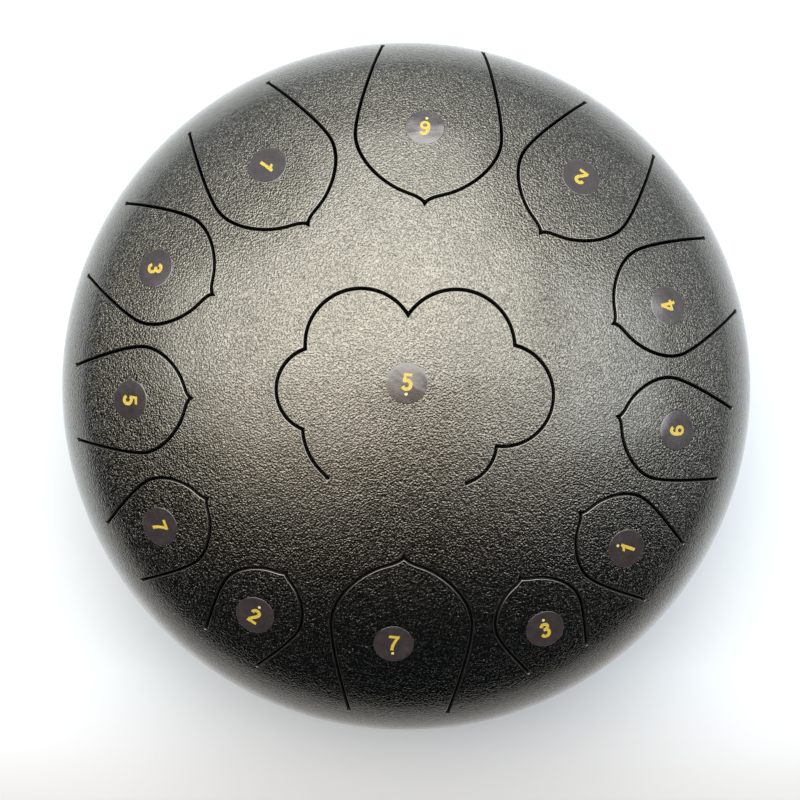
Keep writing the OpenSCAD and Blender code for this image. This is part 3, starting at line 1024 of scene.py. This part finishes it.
for num, (name, (dist, ang, up, digit, dot)) in enumerate(SPOTS.items()):
    a = math.asin(dist / CROWN)
    q = math.radians(ang)
    nrm = np.array([math.sin(a) * math.cos(q), math.sin(a) * math.sin(q), math.cos(a)])
    d = np.array([math.sin(math.radians(up)), math.cos(math.radians(up)), 0.0])
    U = unit(d - nrm * (d @ nrm))
    Rt = np.cross(U, nrm)
    high = wrinkle(40 + num)
    centre = np.array([0, 0, BALL_Z])

    def onto(x, y, h):
        v = unit(nrm * CROWN + np.multiply.outer(x, Rt) + np.multiply.outer(y, U))
        return centre + v * (CROWN + h)[:, None], v

    b = Build()
    radii = np.concatenate([np.linspace(0.35, STICK_R - 0.5, 20),
                            [STICK_R - 0.32, STICK_R - 0.18, STICK_R - 0.08, STICK_R - 0.02,
                             STICK_R]])
    nt = 96
    th = np.arange(nt + 1) / nt * 2 * math.pi
    wob = 1 + 0.0035 * np.sin(3 * th + num) + 0.002 * np.sin(7 * th + 2 * num)
    ids = []
    hfun = lambda x, y, rr: (0.125 + high(x, y)) * np.sqrt(
        np.clip(1 - np.clip((rr - (STICK_R - 0.32)) / 0.32, 0, 1) ** 2, 0, 1)) - 0.02
    for rr in radii:
        x, y = rr * wob * np.cos(th), rr * wob * np.sin(th)
        h = hfun(x, y, np.full(nt + 1, rr))
        p, v = onto(x, y, h)
        ids.append(b.add(p, v))
    p, v = onto(np.zeros(1), np.zeros(1), hfun(np.zeros(1), np.zeros(1), np.zeros(1)))
    mid = b.add(p, v)[0]
    for k in range(nt):
        b.face([(mid, ids[0][k], ids[0][k + 1])])
    for k in range(len(ids) - 1):
        b.strip(ids[k], ids[k + 1], flip=True)
    st = b.make("note_sticker_%s" % name, [VINYL], normals=False)
    merge_seam(st)
    for poly in st.data.polygons:
        poly.use_smooth = True
    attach(st, "tongue_%s_body" % name)
    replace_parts(st, "sticker_%s" % name)

    H = 6.9
    g = GLYPHS[digit]
    w = max(q_[:, 0].max() for q_ in g) + min(q_[:, 0].min() for q_ in g)
    shift = np.array([w / 2, 0.5])
    lift_y = {-1: 0.5, 0: 0.0, 1: -0.5}[dot]
    P, T = fill2([q_ - shift for q_ in g], [q_ - shift for q_ in HOLES.get(digit, [])], 0.13)
    P = P * H + [0.0, lift_y]
    b = Build()
    hh = hfun(P[:, 0], P[:, 1], np.hypot(P[:, 0], P[:, 1])) + 0.03
    p, v = onto(P[:, 0], P[:, 1], hh)
    b.add(p, v)
    b.face(T)
    if dot:
        D, DT = fill2([circle2(0, 0, 0.62, 24)], [], 0.3)
        D = D + [0.0, lift_y + dot * 4.85]
        hh = hfun(D[:, 0], D[:, 1], np.hypot(D[:, 0], D[:, 1])) + 0.03
        p, v = onto(D[:, 0], D[:, 1], hh)
        k = b.add(p, v)[0]
        b.face([[k + j for j in f] for f in DT], 1)
    dg = b.make("digit_%s" % name, [INK, DOT])
    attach(dg, "tongue_%s_body" % name)

# ---------------------------------------------------------------------------------
# Feet and their hardware keep their CAD shapes
# ---------------------------------------------------------------------------------
for name, mat in (("foot_a", RUBBER), ("foot_b", RUBBER), ("foot_c", RUBBER),
                  ("foot_bushings", RUBBER), ("foot_screws", ZINC), ("foot_washers", ZINC),
                  ("foot_nuts", ZINC)):
    o = NODE[name]
    for sl in o.material_slots:
        sl.material = mat
    if not o.material_slots:
        o.data.materials.append(mat)

# ---------------------------------------------------------------------------------
# Floor, light, camera
# ---------------------------------------------------------------------------------
def stage_material():
    """Pale matt board, painted greyer on the near side: painted shade for the light falling off
    there.
    """
    k = Nodes("floor_board")
    sep = k.node("ShaderNodeSeparateXYZ")
    k.link(k.co, sep.inputs[0])
    n1 = k.noise(2.0, 2.0, 0.5)
    y = k.math("ADD", sep.outputs["Y"], k.math("MULTIPLY", n1, 0.02))
    # colour darker towards -y: painted shade, not a different board
    k.to(k.ramp(k.remap(y, -0.23, -0.13, 0.0, 1.0),
                [(0.0, (0.45, 0.45, 0.46)), (0.5, (0.585, 0.593, 0.615)), (1.0, (0.72, 0.77, 0.83))]),
         "Base Color")
    k.set(Roughness=0.95, Specular_IOR_Level=0.2)
    return k.m


me = bpy.data.meshes.new("floor")
me.from_pydata([(-6, -6, 0), (6, -6, 0), (6, 6, 0), (-6, 6, 0)], [], [(0, 1, 2, 3)])
floor = bpy.data.objects.new("floor", me)
bpy.context.scene.collection.objects.link(floor)
me.materials.append(stage_material())

# room round the table: pale on the window's side, dim on the near side
world = bpy.data.worlds.new("world")
bpy.context.scene.world = world
world.use_nodes = True
wt = world.node_tree
bg = wt.nodes["Background"]
wco = wt.nodes.new("ShaderNodeTexCoord")
dot = wt.nodes.new("ShaderNodeVectorMath")
dot.operation = "DOT_PRODUCT"
dot.inputs[1].default_value = (0.24, 0.97, 0.0)
wt.links.new(wco.outputs["Generated"], dot.inputs[0])
rng_ = wt.nodes.new("ShaderNodeMapRange")
rng_.inputs["From Min"].default_value = -1.0
rng_.inputs["From Max"].default_value = 1.0
wt.links.new(dot.outputs["Value"], rng_.inputs["Value"])
wr = wt.nodes.new("ShaderNodeValToRGB")
for el_i, (pos, col) in enumerate([(0.0, (0.022, 0.027, 0.034)), (0.36, (0.034, 0.040, 0.050)),
                                   (0.5, (0.21, 0.225, 0.245)), (0.75, (0.50, 0.54, 0.585)),
                                   (1.0, (0.66, 0.72, 0.78))]):
    els = wr.color_ramp.elements
    el = els[el_i] if el_i < 2 else els.new(pos)
    el.position = pos
    el.color = (*col, 1.0)
wt.links.new(rng_.outputs["Result"], wr.inputs["Fac"])
lp = wt.nodes.new("ShaderNodeLightPath")
wm = wt.nodes.new("ShaderNodeMix")
wm.data_type = "RGBA"
ab = [q for q in wm.inputs if q.type == "RGBA"]
ab[1].default_value = (0.80, 0.80, 0.80, 1.0)
wt.links.new(lp.outputs["Is Camera Ray"], wm.inputs["Factor"])
wt.links.new(wr.outputs["Color"], ab[0])
wt.links.new([q for q in wm.outputs if q.type == "RGBA"][0], bg.inputs["Color"])
bg.inputs["Strength"].default_value = 1.0


def panel(name, x0, x1, y0, y1, z, radiance, color, soft):
    """Flat softbox facing straight down. soft is the width of the fall-off along each
    side: low x, high x, low y, high y. The stated edges are where it is at half."""
    x0, x1, y0, y1 = x0 - soft[0] / 2, x1 + soft[1] / 2, y0 - soft[2] / 2, y1 + soft[3] / 2
    li = bpy.data.lights.new(name, "AREA")
    li.shape = "RECTANGLE"
    li.size, li.size_y = x1 - x0, y1 - y0
    li.energy = radiance * math.pi * li.size * li.size_y
    li.color = color
    li.use_nodes = True
    nt = li.node_tree
    em = [q for q in nt.nodes if q.type == "EMISSION"][0]
    geo = nt.nodes.new("ShaderNodeNewGeometry")
    sep = nt.nodes.new("ShaderNodeSeparateXYZ")
    nt.links.new(geo.outputs["Parametric"], sep.inputs[0])
    total = None
    for axis, lo, hi in (("X", 0.0, soft[0] / li.size), ("X", 1.0, 1.0 - soft[1] / li.size),
                         ("Y", 0.0, soft[2] / li.size_y), ("Y", 1.0, 1.0 - soft[3] / li.size_y)):
        mr = nt.nodes.new("ShaderNodeMapRange")
        mr.interpolation_type = "SMOOTHSTEP"
        mr.inputs["From Min"].default_value = lo
        mr.inputs["From Max"].default_value = hi
        nt.links.new(sep.outputs[axis], mr.inputs["Value"])
        if total is None:
            total = mr.outputs["Result"]
        else:
            mu = nt.nodes.new("ShaderNodeMath")
            mu.operation = "MULTIPLY"
            nt.links.new(total, mu.inputs[0])
            nt.links.new(mr.outputs["Result"], mu.inputs[1])
            total = mu.outputs[0]
    nt.links.new(total, em.inputs["Strength"])
    ob = bpy.data.objects.new(name, li)
    ob.location = ((x0 + x1) / 2, (y0 + y1) / 2, z)
    bpy.context.scene.collection.objects.link(ob)
    return ob


# each panel has a height of its own: where two share a plane, a ray finds only one
WARM = (1.0, 0.97, 0.89)
panel("softbox_main", -2.05, 0.84, 0.06, 1.0, 1.609, 5.15, WARM, (0.8, 0.35, 0.14, 0.5))
panel("softbox_far", -0.70, 0.60, 1.0, 2.4, 1.612, 4.6, (1.0, 0.97, 0.91), (0.5, 0.4, 0.5, 0.4))
panel("softbox_near", -1.45, 0.95, -0.46, 0.06, 1.6, 0.36, (1.0, 0.55, 0.30),
      (0.6, 0.5, 0.46, 0.14))
panel("softbox_left", -1.9, -0.20, -0.33, 0.06, 1.603, 2.8, WARM, (0.6, 0.4, 0.26, 0.14))
panel("softbox_near_left", -1.30, -0.32, -0.85, -0.35, 1.615, 0.8, (1.0, 0.90, 0.74),
      (0.4, 0.3, 0.4, 0.3))
panel("softbox_near_right", 0.32, 1.10, -0.85, -0.35, 1.618, 0.45, (1.0, 0.92, 0.80),
      (0.3, 0.4, 0.4, 0.3))
panel("softbox_near_edge", 0.34, 0.98, -0.34, 0.06, 1.606, 1.5, (0.95, 0.98, 1.0),
      (0.3, 0.2, 0.3, 0.14))
panel("softbox_right", 1.0, 2.30, -0.38, 0.85, 1.621, 4.35, (0.94, 0.98, 1.0),
      (0.4, 0.5, 0.4, 0.5))

cam = bpy.data.cameras.new("camera")
cam.sensor_width = 36.0
cam.lens = 60.39
cam_ob = bpy.data.objects.new("camera", cam)
bpy.context.scene.collection.objects.link(cam_ob)
pitch, yaw = math.radians(1.4024), math.radians(-0.2291)
Rx = Matrix.Rotation(pitch, 4, "X")
Ry = Matrix.Rotation(yaw, 4, "Y")
cam_ob.matrix_world = Matrix.Translation((-0.00523, -0.02154, 0.6 + TOP_Z * 0.001)) @ Ry @ Rx
bpy.context.scene.camera = cam_ob
bpy.context.scene.view_settings.view_transform = "Standard"
bpy.context.scene.view_settings.look = "None"
